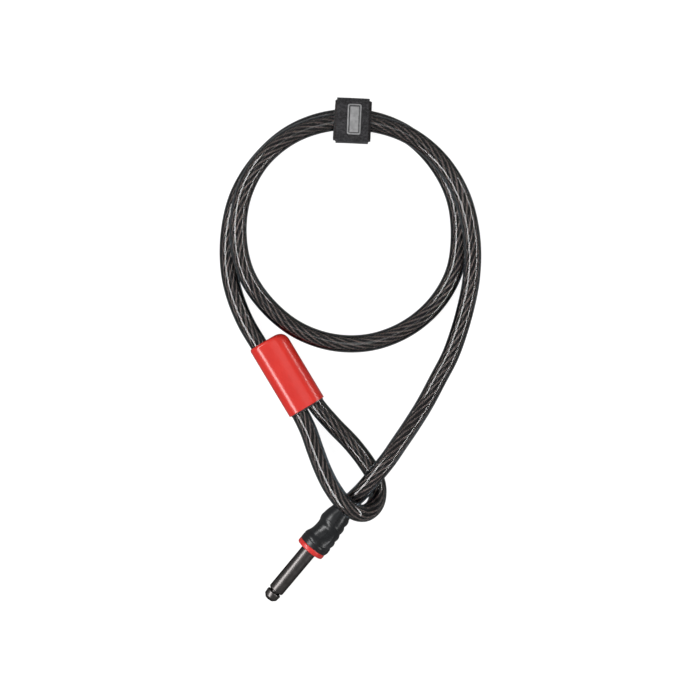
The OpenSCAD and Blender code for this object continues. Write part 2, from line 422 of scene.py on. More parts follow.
sleeve = {"mid": Vector((-43.85, -16, 8)), "turn": math.radians(31), "boreX": 6.2, "length": 53.7,
          "straight": 20, "cutEnd": 17.85}
# distances from the pin's tip, apart from ringLength
plug = {"tipToMount": 24, "ringFront": 44.4, "ringLength": 3, "gripBack": 82,
        "jacketStart": 70.2, "ropeStart": 58}

lockPin = next(m for m in frame["record"]["mounts"] if m["name"] == "lock_pin")
plugDir = -Vector(lockPin["axis"]).normalized()
plugTip = Vector(lockPin["pos_m"]) - plugDir * plug["tipToMount"] * mm
plugLeft = Vector((0, 0, 1)).cross(plugDir).normalized()
plugUp = plugDir.cross(plugLeft)
inMillimetres = Matrix.Diagonal((mm, mm, mm, 1))
# local X to the left, Y up, Z from the tip towards the cable
plugTurn = Matrix((plugLeft, plugUp, plugDir)).transposed().to_4x4()
plugPlace = Matrix.Translation(plugTip) @ plugTurn @ inMillimetres
# local Y along the sleeve towards the coil
sleevePlace = Matrix.Translation(sleeve["mid"] * mm) @ Matrix.Rotation(sleeve["turn"], 4, "Z") @ inMillimetres


def plugAt(s):
    return plugPlace @ Vector((0, 0, s))


def sleeveAt(x, y):
    return sleevePlace @ Vector((x, y, 0))


def onTurn(angle, radius, height):
    a = math.radians(angle)
    return (turnsMid + Vector((radius * math.cos(a), radius * math.sin(a), height))) * mm


def smoothPath(points, step):
    # a smooth curve through all the points, however unevenly they are spaced
    path = []
    for i in range(len(points) - 1):
        here, there = points[i], points[i + 1]
        before = points[i - 1] if i else here * 2 - there
        after = points[i + 2] if i + 2 < len(points) else there * 2 - here
        d0, d1, d2 = (here - before).length, (there - here).length, (after - there).length
        leave = ((here - before) / d0 * d1 + (there - here) / d1 * d0) / (d0 + d1) * d1
        arrive = ((there - here) / d1 * d2 + (after - there) / d2 * d1) / (d1 + d2) * d1
        count = max(1, round(d1 / step))
        for k in range(count):
            t = k / count
            path.append(here * (2 * t ** 3 - 3 * t ** 2 + 1) + leave * (t ** 3 - 2 * t ** 2 + t)
                        + there * (3 * t ** 2 - 2 * t ** 3) + arrive * (t ** 3 - t ** 2))
    path.append(points[-1])
    return path


boreX, halfSleeve, straight = sleeve["boreX"], sleeve["length"] / 2, sleeve["straight"]
route = [plugAt(plug["jacketStart"]), plugAt(plug["gripBack"])]
route += [Vector(p) * mm for p in lead]
route += [onTurn(*t) for t in turns]
route += [sleeveAt(-boreX, y) for y in (halfSleeve, straight, 0, -straight, -halfSleeve)]
route += [Vector(p) * mm for p in eye]
route += [sleeveAt(boreX, y) for y in (-halfSleeve, -straight, 0, sleeve["cutEnd"])]

cable = {
    "outer": 6.0, "sides": 48, "step": 1.5, "pathStep": 2,
    "strands": 6, "wires": 6, "strandCircle": 2.02, "wireCircle": 0.66, "wireRadius": 0.35,
    "strandLay": 54, "wireLay": 12, "wireStep": 1.5, "wireSides": 5,
}
cablePath = smoothPath(route, cable["pathStep"] * mm)
for place in cablePath:
    place.z = max(place.z, cable["outer"] * mm)  # never into the floor
ropePath = [plugAt(plug["ropeStart"]), plugAt((plug["ropeStart"] + plug["jacketStart"]) / 2)] + cablePath


def pathLength(path):
    return sum((b - a).length for a, b in zip(path, path[1:]))


view = {"width": 0.483, "lens": 180, "sensor": 36}
lightBoxes = [  # place, width, length along Y, strength; each faces the middle
    ((-0.86, -0.05, 1.02), 0.42, 1.8, 6.6),
    ((0.95, -0.10, 0.62), 0.16, 1.6, 7.0),
    ((0.05, 0.0, 1.6), 0.16, 1.0, 1.2),
]
# how bright the sky is, from the horizon to straight above
skyBands = [(0.0, 0.14), (0.35, 0.26), (0.65, 0.28), (1.0, 0.22)]
# the glow is for the eye only, so that polished edges stay dark
floorTone = {"plain": 0.2, "glow": 0.95, "reach": 3}


def paleFloor():
    material, tree = newMaterial("paleFloor")
    seen = addNode(tree, "ShaderNodeLightPath")
    return finishMaterial(material, {
        "Base Color": (floorTone["plain"],) * 3 + (1,), "Roughness": 0.9,
        "Emission Color": (1, 1, 1, 1), "Emission Strength": seen * floorTone["glow"]
    })


def faceMiddle(box):
    # a long box keeps its length along Y
    back = box.location.normalized()
    across = Vector((0, 1, 0)).cross(back).normalized()
    turned = Matrix((across, back.cross(across), back)).transposed().to_4x4()
    box.matrix_world = Matrix.Translation(box.location) @ turned


def makeStage():
    low, high = (Vector(c) for c in cadBox)
    camera = bpy.data.objects.new("camera", bpy.data.cameras.new("camera"))
    camera.data.lens = view["lens"]
    camera.data.sensor_width = view["sensor"]
    above = view["width"] * view["lens"] / view["sensor"]
    camera.location = ((low.x + high.x) / 2, (low.y + high.y) / 2, above)
    scene.collection.objects.link(camera)
    scene.camera = camera
    finishes["floor"] = paleFloor()
    far = floorTone["reach"]
    corners = [(-far, -far, 0), (far, -far, 0), (far, far, 0), (-far, far, 0)]
    floor = newObject("floor", corners, [(0, 1, 2, 3)], "floor", smooth=False)
    for i, (place, width, length, strength) in enumerate(lightBoxes):
        lamp = bpy.data.lights.new(f"softBox{i}", "AREA")
        lamp.shape = "RECTANGLE"
        lamp.size, lamp.size_y = width, length
        lamp.energy = strength * width * length * math.pi  # strength is its brightness, whatever its size
        box = bpy.data.objects.new(lamp.name, lamp)
        box.location = place
        faceMiddle(box)
        scene.collection.objects.link(box)
    world = bpy.data.worlds.new("studio")
    world.use_nodes = True
    sky = world.node_tree
    sky.nodes.clear()
    direction = addNode(sky, "ShaderNodeTexCoord")
    height = addNode(sky, "ShaderNodeSeparateXYZ", {}, {0: direction}).also("Z")
    stops = [(at, (v, v, v)) for at, v in skyBands]
    bands = addNode(sky, "ShaderNodeValToRGB", {"stops": stops}, {0: height})
    seen = addNode(sky, "ShaderNodeLightPath")
    # plain white to the eye, as the floor is
    shown = addNode(sky, "ShaderNodeMix", {"data_type": "RGBA"}, {0: seen, 6: bands, 7: (1, 1, 1, 1)}, out=2)
    glow = addNode(sky, "ShaderNodeBackground", {}, {"Color": shown, "Strength": 1.0})
    addNode(sky, "ShaderNodeOutputWorld", {}, {"Surface": glow})
    scene.world = world
    scene.view_settings.view_transform = "Standard"
    print("camera, floor and lights placed")


makeStage()


def routeCurve(name, path):
    line = bpy.data.curves.new(name, "CURVE")
    line.dimensions = "3D"
    line.twist_mode = "Z_UP"
    spline = line.splines.new("POLY")
    spline.points.add(len(path) - 1)
    for point, place in zip(spline.points, path):
        point.co = (*place, 1)
    curve = bpy.data.objects.new(name, line)
    scene.collection.objects.link(curve)
    return curve


def nodeGroup(name, **sockets):
    tree = bpy.data.node_groups.new(name, "GeometryNodeTree")
    tree.interface.new_socket("Geometry", in_out="INPUT", socket_type="NodeSocketGeometry")
    tree.interface.new_socket("Geometry", in_out="OUTPUT", socket_type="NodeSocketGeometry")
    for label, kind in sockets.items():
        tree.interface.new_socket(label, in_out="INPUT", socket_type=f"NodeSocket{kind}")
    entry = addNode(tree, "NodeGroupInput").socket.node
    given = {socket.name: Wire(tree, socket) for socket in entry.outputs if socket.name}
    return tree, given


def closeGroup(tree, geometry, finish):
    real = addNode(tree, "GeometryNodeRealizeInstances", {}, {0: geometry})
    done = addNode(tree, "GeometryNodeSetMaterial", {}, {0: real, "Material": finish})
    addNode(tree, "NodeGroupOutput", {}, {0: done})


def useGroup(obj, tree, values):
    # inputs are set by identifier before the object is first evaluated
    modifier = obj.modifiers.new(tree.name, "NODES")
    modifier.node_group = tree
    for item in tree.interface.items_tree:
        if item.in_out == "INPUT" and item.name in values:
            modifier[item.identifier] = values[item.name]
    return bakeModifiers(obj)


def evenCurve(tree, curve, step):
    even = addNode(tree, "GeometryNodeResampleCurve", {"mode": "LENGTH"}, {"Curve": curve, "Length": step})
    return addNode(tree, "GeometryNodeSetCurveNormal", {"mode": "Z_UP"}, {"Curve": even})


def sweepCircle(tree, curve, radius, sides):
    circle = addNode(tree, "GeometryNodeCurvePrimitiveCircle", {}, {"Resolution": sides, "Radius": radius})
    return addNode(tree, "GeometryNodeCurveToMesh", {},
                   {"Curve": curve, "Profile Curve": circle, "Fill Caps": True})


def smoothShade(tree, mesh):
    return addNode(tree, "GeometryNodeSetShadeSmooth", {}, {0: mesh})


def tubeTree():
    tree, given = nodeGroup("jacketTube", Radius="Float", Step="Float", Sides="Int", Finish="Material")
    even = evenCurve(tree, given["Geometry"], given["Step"])
    tube = sweepCircle(tree, even, given["Radius"], given["Sides"])
    closeGroup(tree, smoothShade(tree, tube), given["Finish"])
    return tree


def strandTree():
    # one strand of round wires, laid round the rope's middle
    tree, given = nodeGroup("ropeStrand", Turn="Float", Wires="Int", StrandCircle="Float", StrandLay="Float",
                            WireCircle="Float", WireLay="Float", WireRadius="Float", WireSides="Int",
                            Step="Float", Finish="Material")
    even = evenCurve(tree, given["Geometry"], given["Step"])
    copies = addNode(tree, "GeometryNodeDuplicateElements", {"domain": "SPLINE"},
                     {"Geometry": even, "Amount": given["Wires"]})
    which = copies.also("Duplicate Index")
    along = addNode(tree, "GeometryNodeSplineParameter").also("Length")
    tangent = addNode(tree, "GeometryNodeInputTangent")
    normal = addNode(tree, "GeometryNodeInputNormal")

    def vectors(operation, sockets):
        return addNode(tree, "ShaderNodeVectorMath", {"operation": operation}, sockets)

    def mixed(first, firstAmount, second, secondAmount):
        return vectors("ADD", {0: vectors("SCALE", {0: first, "Scale": firstAmount}),
                               1: vectors("SCALE", {0: second, "Scale": secondAmount})})

    side = vectors("CROSS_PRODUCT", {0: tangent, 1: normal})
    full = 2 * math.pi
    strandAngle = along / given["StrandLay"] * full + given["Turn"]
    wireAngle = which / given["Wires"] * full - along / given["WireLay"] * full
    strandCos, strandSin = strandAngle.cosine(), strandAngle.sine()
    wireCos, wireSin = wireAngle.cosine(), wireAngle.sine()
    outward = mixed(normal, strandCos, side, strandSin)
    around = mixed(side, strandCos, normal, strandSin * -1.0)
    strandPart = vectors("SCALE", {0: outward, "Scale": given["StrandCircle"]})
    wirePart = mixed(outward, wireCos * given["WireCircle"], around, wireSin * given["WireCircle"])
    shift = vectors("ADD", {0: strandPart, 1: wirePart})
    # how far out a wire lies in its strand, which the finish reads for its painted highlight on the crests
    # and painted shade in the grooves
    marked = addNode(tree, "GeometryNodeStoreNamedAttribute", {"data_type": "FLOAT", "domain": "POINT"},
                     {"Geometry": copies, "Name": "outermost", "Value": wireCos * 0.5 + 0.5})
    wound = addNode(tree, "GeometryNodeSetPosition", {}, {"Geometry": marked, "Offset": shift})
    wires = sweepCircle(tree, wound, given["WireRadius"], given["WireSides"])
    closeGroup(tree, smoothShade(tree, wires), given["Finish"])
    return tree


def makeJacket():
    jacket = useGroup(routeCurve("cableJacket", cablePath), tubeTree(), {
        "Radius": cable["outer"] * mm, "Step": cable["step"] * mm, "Sides": cable["sides"],
        "Finish": finishes["jacket"]})
    faceOutwards(jacket)
    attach(jacket, "cable")
    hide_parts("cable_jacket")
    print("jacket", len(jacket.data.polygons), "faces")
    return jacket


def makeRope():
    tree = strandTree()
    for i in range(cable["strands"] + 1):
        fromMiddle = cable["strandCircle"] if i < cable["strands"] else 0  # the last is the core
        strand = useGroup(routeCurve(f"ropeStrand.{i}", ropePath), tree, {
            "Turn": 2 * math.pi * i / cable["strands"], "Wires": cable["wires"],
            "StrandCircle": fromMiddle * mm, "StrandLay": cable["strandLay"] * mm,
            "WireCircle": cable["wireCircle"] * mm, "WireLay": cable["wireLay"] * mm,
            "WireRadius": cable["wireRadius"] * mm, "WireSides": cable["wireSides"],
            "Step": cable["wireStep"] * mm, "Finish": finishes["rope"]})
        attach(strand, "cable")
        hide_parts("wire_rope")
    print("rope strands", len(strand.data.polygons), "faces each")


jacket = makeJacket()
makeRope()


pin = {"radius": 4.75, "tipRadius": 2.6, "chamfer": 1.6, "headLength": 5.4, "grooveRadius": 3.45,
       "grooveWidth": 2.3, "seatRadius": 4.1, "shankRadius": 3.5, "shankLength": 10,
       "hair": 0.02}  # the turned shape closes round a middle as thin as this
ringSize = {"radius": 9.95, "hole": 4.15, "edge": 0.6, "holeEdge": 0.2}


def makePin():
    r, head, groove = pin["radius"], pin["headLength"], pin["grooveRadius"]
    front, hair = plug["ringFront"], pin["hair"]
    back = front + plug["ringLength"]
    tail = back + pin["shankLength"]
    grooveEnd = head + pin["grooveWidth"]
    outline = [(hair, 0), (pin["tipRadius"], 0), (r, pin["chamfer"]), (r, head), (groove, head),
               (groove, grooveEnd), (r, grooveEnd), (r, front),
               (pin["seatRadius"], front), (pin["seatRadius"], back),
               (pin["shankRadius"], back), (pin["shankRadius"], tail), (hair, tail)]
    radii = [0, 0.5, 0.8, 0.45, 0.3, 0.3, 0.3, 0.2, 0.1, 0.1, 0.1, 0.4, 0]  # one for each corner
    piece = lathe("lockingPin", roundCorners(outline, radii), plugPlace, "chrome")
    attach(piece, "cable")
    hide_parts("locking_pin")


def makeRing():
    r, hole, front = ringSize["radius"], ringSize["hole"], plug["ringFront"]
    back = front + plug["ringLength"]
    outline = [(hole, front), (r, front), (r, back), (hole, back)]
    edge, holeEdge = ringSize["edge"], ringSize["holeEdge"]
    piece = lathe("pinRing", roundCorners(outline, [holeEdge, edge, edge, holeEdge]), plugPlace, "ring")
    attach(piece, "cable")
    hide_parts("pin_ring")


makePin()
makeRing()
print("pin and ring turned")

grip = {
    "front": 47.45, "back": 82, "frontEdge": 0.5, "backEdge": 1.2, "sides": 180, "step": 0.25, "edgeSteps": 5,
    "socketHole": 6.6, "socketEnd": 58, "cableHole": 6.08, "cableFrom": 60, "tailSkirt": 3,
    "blur": 0.8, "profile": [(47.9, 10.35), (52.2, 10.4), (57, 10.3), (61, 10.0), (65, 9.6), (69, 9.2),
                             (72, 8.9), (74, 8.6), (77.5, 7.7), (80, 7.1), (82, 6.75)],
    "scoopTurn": 50, "scoopReach": 115, "scoopMid": 60.4, "scoopHalf": 8.8, "scoopDepth": 1.75,
    "endLip": 0.05, "sideLip": 0.25, "bead": 0.25, "beadWidth": 0.035,
    "collarGroove": 51.3, "grooveSize": 0.35,
    "ribs": [(48.0, 10.4), (54.1, 10.1), (59.4, 9.85), (65.3, 9.2), (71.4, 8.3), (77.2, 7.6)],
    "ribHeight": 0.85, "ribMid": -112, "ribReach": 44, "ribFade": 8,
}


def between(table, s):
    # the radius at s, on straight lines from one (s, radius) to the next
    if s <= table[0][0]:
        return table[0][1]
    for (s0, r0), (s1, r1) in zip(table, table[1:]):
        if s <= s1:
            t = (s - s0) / (s1 - s0)
            return r0 + (r1 - r0) * t
    return table[-1][1]


def easeStep(low, high, value):
    t = min(1, max(0, (value - low) / (high - low)))
    return t * t * (3 - 2 * t)


def gripRadius(s, phi):
    # s from the pin's tip, phi in degrees from straight up, positive to the left of the plug
    profile, blur = grip["profile"], grip["blur"]
    r = (between(profile, s - blur) + between(profile, s) + between(profile, s + blur)) / 3
    offside = (phi - grip["ribMid"] + 180) % 360 - 180
    ribby = 1 - easeStep(grip["ribReach"] - grip["ribFade"], grip["ribReach"], abs(offside))
    if ribby > 0:
        valleys = grip["ribs"]
        for (s0, r0), (s1, r1) in zip(valleys, valleys[1:]):
            if s0 <= s <= s1:
                t = (s - s0) / (s1 - s0)
                crest = r0 + (r1 - r0) * t + grip["ribHeight"] * math.sin(math.pi * t ** 1.15) ** 0.75
                r += ribby * (crest - r)
    turn = abs((phi - grip["scoopTurn"] + 180) % 360 - 180) / grip["scoopReach"]
    rise = abs(s - grip["scoopMid"]) / grip["scoopHalf"]
    rho = (turn ** 3 + rise ** 3) ** (1 / 3)  # 1 all round the scoop's edge
    inside = 1 - easeStep(0.96, 1.0, rho)
    bowl = grip["scoopDepth"] * max(0, 1 - rise ** 2) ** 0.8 * (1 - easeStep(0.5, 1.0, rho))
    sideways = (turn / rho) ** 3 if rho else 0  # 1 on the scoop's side edge, 0 at its ends
    lip = grip["endLip"] + (grip["sideLip"] - grip["endLip"]) * sideways
    bead = grip["bead"] * (0.3 + 0.7 * sideways) * math.exp(-((rho - 1.03) / grip["beadWidth"]) ** 2)
    line = grip["grooveSize"] * math.exp(-((s - grip["collarGroove"]) / grip["grooveSize"]) ** 2)
    return r - inside * (lip + bowl) + bead * (1 - inside) - line


def makeGrip():
    sides, front, back, edge = grip["sides"], grip["front"], grip["back"], grip["frontEdge"]

    def ring(s, radiusAt):
        points = []
        for k in range(sides):
            phi = 360 * k / sides
            r = radiusAt(phi)
            a = math.radians(phi)
            points.append(plugPlace @ Vector((r * math.sin(a), r * math.cos(a), s)))
        return points

    # the hole from back to front, then the outside from front to back
    rings = []
    for s, r in [(back - grip["tailSkirt"], grip["cableHole"]), (grip["cableFrom"], grip["cableHole"]),
                 (grip["socketEnd"], grip["socketHole"]), (front, grip["socketHole"])]:
        rings.append(ring(s, lambda phi: r))
    steps = grip["edgeSteps"]
    for k in range(steps):
        a = math.pi / 2 * k / steps
        pull = edge * (1 - math.sin(a))
        rings.append(ring(front + edge * (1 - math.cos(a)), lambda phi: gripRadius(front + edge, phi) - pull))
    start, end = front + edge, back - grip["backEdge"]
    count = round((end - start) / grip["step"])
    for i in range(count + 1):
        s = start + (end - start) * i / count
        rings.append(ring(s, lambda phi: gripRadius(s, phi)))
    drop = between(grip["profile"], end) - grip["cableHole"]
    for k in range(1, steps + 1):
        a = math.pi / 2 * k / steps
        r = grip["cableHole"] + drop * math.cos(a) + 0.001
        rings.append(ring(end + grip["backEdge"] * math.sin(a), lambda phi: r))
    points, faces = stackRings(rings, closed=True)
    piece = newObject("gripBoot", points, faces, "grip")
    faceOutwards(piece)
    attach(piece, "cable")
    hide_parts("grip_boot")
    print("grip", len(faces), "faces")


makeGrip()


cover = {"halfWidth": 13.65, "halfHeight": 8.0, "length": 53.7, "shoulder": 7.0, "edge": 2.6, "crown": 1.3,
         "pullTop": 0.8, "pullLeft": 0.45, "pullRight": 0.3, "sides": 128, "along": 40, "shoulderSteps": 24,
         "hole": 6.12, "holeLip": 0.25, "cavityTop": 20.45, "cavityX": 13.0, "cavityZ": 6.8}
seal = {"sides": 64, "layers": [  # how far out of the cover, half width, half height
    (-2.0, 12.5, 6.1), (0.5, 12.5, 6.1), (1.0, 12.1, 5.7), (1.3, 11.2, 4.8), (1.4, 9.5, 3.0)]}


def stadium(halfWidth, halfHeight, sides):
    # evenly spaced points round a shape with two half-round ends, from its right-hand end
    flat = max(0, halfWidth - halfHeight)
    quarter = math.pi * halfHeight / 2
    total = 4 * flat + 4 * quarter
    points = []
    for k in range(sides):
        d = total * k / sides
        if d < quarter or d >= total - quarter:
            a = (d if d < quarter else d - total) / halfHeight
            points.append((flat + halfHeight * math.cos(a), halfHeight * math.sin(a)))
        elif d < quarter + 2 * flat:
            points.append((flat - (d - quarter), halfHeight))
        elif d < quarter + 2 * flat + 2 * quarter:
            a = math.pi / 2 + (d - quarter - 2 * flat) / halfHeight
            points.append((-flat + halfHeight * math.cos(a), halfHeight * math.sin(a)))
        else:
            points.append((-flat + (d - 3 * quarter - 2 * flat), -halfHeight))
    return points


def makeCover():
    half, w, h = cover["length"] / 2, cover["halfWidth"], cover["halfHeight"]
    shoulder, edge, top = cover["shoulder"], cover["edge"], cover["cavityTop"]
    base = stadium(w, h, cover["sides"])
    cavity = stadium(cover["cavityX"], cover["cavityZ"], cover["sides"])

    def outer(y, grow=0.0):
        # the right shoulder is a big round, the ends a small one
        left, right, tall = -w, w, h
        if y > half - shoulder:
            right = w - shoulder + math.sqrt(max(0, shoulder ** 2 - (y - half + shoulder) ** 2))
        if y > half - edge:
            pull = edge - math.sqrt(max(0, edge ** 2 - (y - half + edge) ** 2))
            tall -= pull * cover["pullTop"]
            left += pull * cover["pullLeft"]
            right -= pull * cover["pullRight"]
        ring = []
        for x, z in base:
            newX = (left + right) / 2 + x / w * (right - left) / 2
            newZ = z / h * (tall - cover["crown"] * (x / w) ** 2)
            ring.append(sleevePlace @ Vector((newX * (1 + grow), y, newZ * (1 + grow))))
        return ring

    def hole(y, radius):
        ring = []
        for x, z in base:
            a = math.atan2(z / h, x / w)
            ring.append(sleevePlace @ Vector((-boreX + radius * math.cos(a), y, radius * math.sin(a))))
        return ring

    def inner(y, wide, tall):
        return [sleevePlace @ Vector((x * wide, y, z * tall)) for x, z in cavity]

    # from the open end's inner edge, over the outside to the closed end, and back through the hole
    rings = [inner(-half + 0.15, 1, 1), inner(-half, 1.015, 1.02)]
    rings += [outer(-half, -0.018), outer(-half + 0.18, -0.004)]
    count, steps = cover["along"], cover["shoulderSteps"]
    stations = [-half + 0.5 + (2 * half - 0.5 - shoulder) * i / count for i in range(count + 1)]
    stations += [half - shoulder * (1 - math.sin(math.pi / 2 * i / steps)) for i in range(1, steps + 1)]
    rings += [outer(y) for y in stations]
    rim, lip = rings[-1], hole(half - 0.2, cover["hole"] + cover["holeLip"])
    rings += [[a.lerp(b, t) for a, b in zip(rim, lip)] for t in (0.25, 0.5, 0.75)]
    rings += [lip, hole(half - 0.5, cover["hole"]), hole(top + 0.2, cover["hole"])]
    rings += [inner(top, 0.97, 0.97), inner(top - 0.3, 1, 1)]
    points, faces = stackRings(rings, closed=True)
    piece = newObject("sleeveCover", points, faces, "vinyl")
    faceOutwards(piece)
    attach(piece, "cable")
    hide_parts("sleeve_cover")
    print("cover", len(faces), "faces")


def makeSeal():
    # the clear bead that closes the cover's open end between the two legs
    rings = []
    for past, w, h in seal["layers"]:
        y = -past - cover["length"] / 2
        rings.append([sleevePlace @ Vector((x, y, z)) for x, z in stadium(w, h, seal["sides"])])
    points, faces = stackRings(rings)
    faces += endCaps(points, rings)
    piece = newObject("sealBead", points, faces, "seal")
    faceOutwards(piece)
    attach(piece, "cable")


makeCover()
makeSeal()


strap = {
    "mid": Vector((1.4, 157.3)), "skew": -2.4, "sizeY": 30.4, "sizeZ": 28.4, "corner": 6.5, "step": 0.5,
    "band": {"inset": 1.95, "thick": 0.9, "width": 25.5, "wobble": 0.12, "fray": 0.25, "across": 16},
    "pile": {"inset": 1.5, "thick": 0.4, "width": 23.5, "wobble": 0.06, "fray": 0.15, "across": 30},
    "flap": {"inset": 0.0, "thick": 1.0, "width": 22.3, "wobble": 0.18, "fray": 0.2, "across": 28},
    "hooks": {"inset": 1.05, "thick": 0.3, "width": 18.3, "wobble": 0.0, "fray": 0.0, "across": 10},
    "bandFlare": 0.05, "farFoot": 6.2, "nearEnd": 9.4, "pileEnd": 6.4, "hookStart": -1.5, "hookPast": 1,
    "foldStart": 12.9, "foldEnd": 10.9, "waveScale": 0.14, "frayScale": 0.7, "fraySeed": 7.7, "mapUnit": 10,
}
foldLine = next(j for j in frame["record"]["behaviour"]["joints"] if j["name"] == "flap_open")["pos_m"]


def strapPlace(x, y, z):
    # x across the strap, y from its middle towards the far side, z up from the floor, all in mm
    a = math.radians(strap["skew"])
    return Vector((strap["mid"].x + x * math.cos(a) - y * math.sin(a),
                   strap["mid"].y + x * math.sin(a) + y * math.cos(a), z)) * mm


cornerPoints = 13  # on each rounded corner of the strap


def strapLoop(inset, foot):
    # outline seen along the cable, from the far foot up, over the top and back underneath
    half, top, r = strap["sizeY"] / 2 - inset, strap["sizeZ"] - inset, strap["corner"] - inset
    corners = [(half - r, top - r), (r - half, top - r), (r - half, foot + r), (half - r, foot + r)]
    line = []
    for i, (cy, cz) in enumerate(corners):
        for k in range(cornerPoints):
            a = math.pi / 2 * (i + k / (cornerPoints - 1))
            line.append(Vector((cy + r * math.cos(a), cz + r * math.sin(a))))
    return line


def evenly(line, closed):
    # the same line with points about one step apart
    ends = line[1:] + line[:1] if closed else line[1:]
    dense = []
    for a, b in zip(line, ends):
        count = max(1, round((b - a).length / strap["step"]))
        dense += [a.lerp(b, k / count) for k in range(count)]
    return dense if closed else dense + [line[-1]]


def overTop(inset, farEnd, nearEnd):
    # up the far side, over the top and down the near side
    arcs = strapLoop(inset, 0)[:2 * cornerPoints]
    half = strap["sizeY"] / 2 - inset
    return evenly([Vector((half, farEnd))] + arcs + [Vector((-half, nearEnd))], False)


def ribbon(name, line, cut, finish, closed=False, flare=0.0):
    # a length of cloth along a line, as wide as its cut, with soft waves and slightly frayed edges
    # flare narrows one side of it towards the far side of the strap
    count, across, unit = len(line), cut["across"], strap["mapUnit"]
    waveScale, frayScale = strap["waveScale"], strap["frayScale"]
    total = [0.0]
    for a, b in zip(line, line[1:] + line[:1]):
        total.append(total[-1] + (b - a).length)
    points, maps = [], []
    for i, spot in enumerate(line):
        ahead = line[(i + 1) % count] if closed else line[min(i + 1, count - 1)]
        behind = line[i - 1] if closed else line[max(i - 1, 0)]
        along = (ahead - behind).normalized()
        out = Vector((along.y, -along.x))
        for k in range(across + 1):
            u = k / across - 0.5
            waves = Vector((spot.x * waveScale, spot.y * waveScale, u * 3 + len(name)))
            swell = noise.noise(waves) * cut["wobble"]
            swell = min(swell, 0) if spot.y < 2 else swell  # the underside lies flat on the floor
            ends = Vector((spot.x * frayScale, spot.y * frayScale, strap["fraySeed"] + u))
            fray = noise.noise(ends) * cut["fray"] * abs(u) * 2
            wide = cut["width"] + fray - (flare * (spot.x + 6) if u < 0 else 0)
            points.append(strapPlace(u * wide, spot.x + out.x * swell, spot.y + out.y * swell))
            maps.append((u * cut["width"] / unit, total[i] / unit))
    faces = []
    row = across + 1
    for i in range(count if closed else count - 1):
        a, b = i * row, (i + 1) % count * row
        faces += [(b + k, b + k + 1, a + k + 1, a + k) for k in range(across)]
    piece = newObject(name, points, faces, finish)
    layer = piece.data.uv_layers.new(name="strapMap")
    for face in piece.data.polygons:
        rows = [vertex // row for vertex in face.vertices]
        wraps = closed and 0 in rows and count - 1 in rows
        for corner, vertex, at in zip(face.loop_indices, face.vertices, rows):
            u, v = maps[vertex]
            layer.data[corner].uv = (u, total[-1] / unit if wraps and at == 0 else v)
    shell = piece.modifiers.new("thick", "SOLIDIFY")
    shell.thickness = cut["thick"] * mm
    shell.offset = 0
    edge = piece.modifiers.new("edge", "BEVEL")
    edge.width = cut["thick"] * 0.3 * mm
    edge.segments = 2
    edge.limit_method = "ANGLE"
    edge.angle_limit = math.radians(50)
    return bakeModifiers(piece)


def hookTree():
    # a little bent hook stands on the middle of each face
    tree, given = nodeGroup("hookRows", Height="Float", Thickness="Float", Finish="Material")
    facing = addNode(tree, "GeometryNodeInputNormal")
    kept = addNode(tree, "GeometryNodeCaptureAttribute",
                   {"domain": "FACE", "captures": [("VECTOR", "Facing")]}, {0: given["Geometry"], 1: facing})
    spots = addNode(tree, "GeometryNodeMeshToPoints", {"mode": "FACES"}, {"Mesh": kept})
    turned = addNode(tree, "FunctionNodeAlignRotationToVector", {"axis": "Z"}, {"Vector": kept.also(1)})
    tall = given["Height"]
    bend = {end: addNode(tree, "ShaderNodeCombineXYZ", {}, {"X": tall * x, "Z": tall * z})
            for end, x, z in (("Start", 0, 0), ("Middle", 0, 1.9), ("End", 0.75, 0.55))}
    stem = addNode(tree, "GeometryNodeCurveQuadraticBezier", {}, {"Resolution": 6, **bend})
    hook = sweepCircle(tree, stem, given["Thickness"], 5)
    placed = addNode(tree, "GeometryNodeInstanceOnPoints", {},
                     {"Points": spots, "Instance": hook, "Rotation": turned})
    closeGroup(tree, placed, given["Finish"])
    return tree


def stitchTree():
    # short threads laid end to end along a line
    tree, given = nodeGroup("stitchRow", Pitch="Float", Length="Float", Thickness="Float", Finish="Material")
    spots = addNode(tree, "GeometryNodeCurveToPoints", {"mode": "LENGTH"},
                    {"Curve": given["Geometry"], "Length": given["Pitch"]})
    ball = addNode(tree, "GeometryNodeMeshIcoSphere", {}, {"Radius": 1.0, "Subdivisions": 2})
    size = addNode(tree, "ShaderNodeCombineXYZ", {},
                   {"X": given["Thickness"], "Y": given["Thickness"], "Z": given["Length"] * 0.5})
    placed = addNode(tree, "GeometryNodeInstanceOnPoints", {},
                     {"Points": spots, "Instance": smoothShade(tree, ball),
                      "Rotation": spots.also("Rotation"), "Scale": size})
    closeGroup(tree, placed, given["Finish"])
    return tree


stitches = {"pitch": 1.5, "length": 1.15, "thickness": 0.16, "across": 9.6, "rows": (8.2, 11.4),
            "proud": 0.04}


def stitchRow(name, places, tree, body):
    row = useGroup(routeCurve(name, places), tree, {
        "Pitch": stitches["pitch"] * mm, "Length": stitches["length"] * mm,
        "Thickness": stitches["thickness"] * mm, "Finish": finishes["thread"]})
    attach(row, body)


def nearSide(cut):
    # the hooks' strip: from the top's near half down the near side
    inset = cut["inset"] + cut["thick"] / 2
    half = strap["sizeY"] / 2 - inset
    arc = strapLoop(inset, 0)[cornerPoints:2 * cornerPoints]
    start = Vector((strap["hookStart"], strap["sizeZ"] - inset))
    return evenly([start] + arc + [Vector((-half, strap["nearEnd"] + strap["hookPast"]))], False)


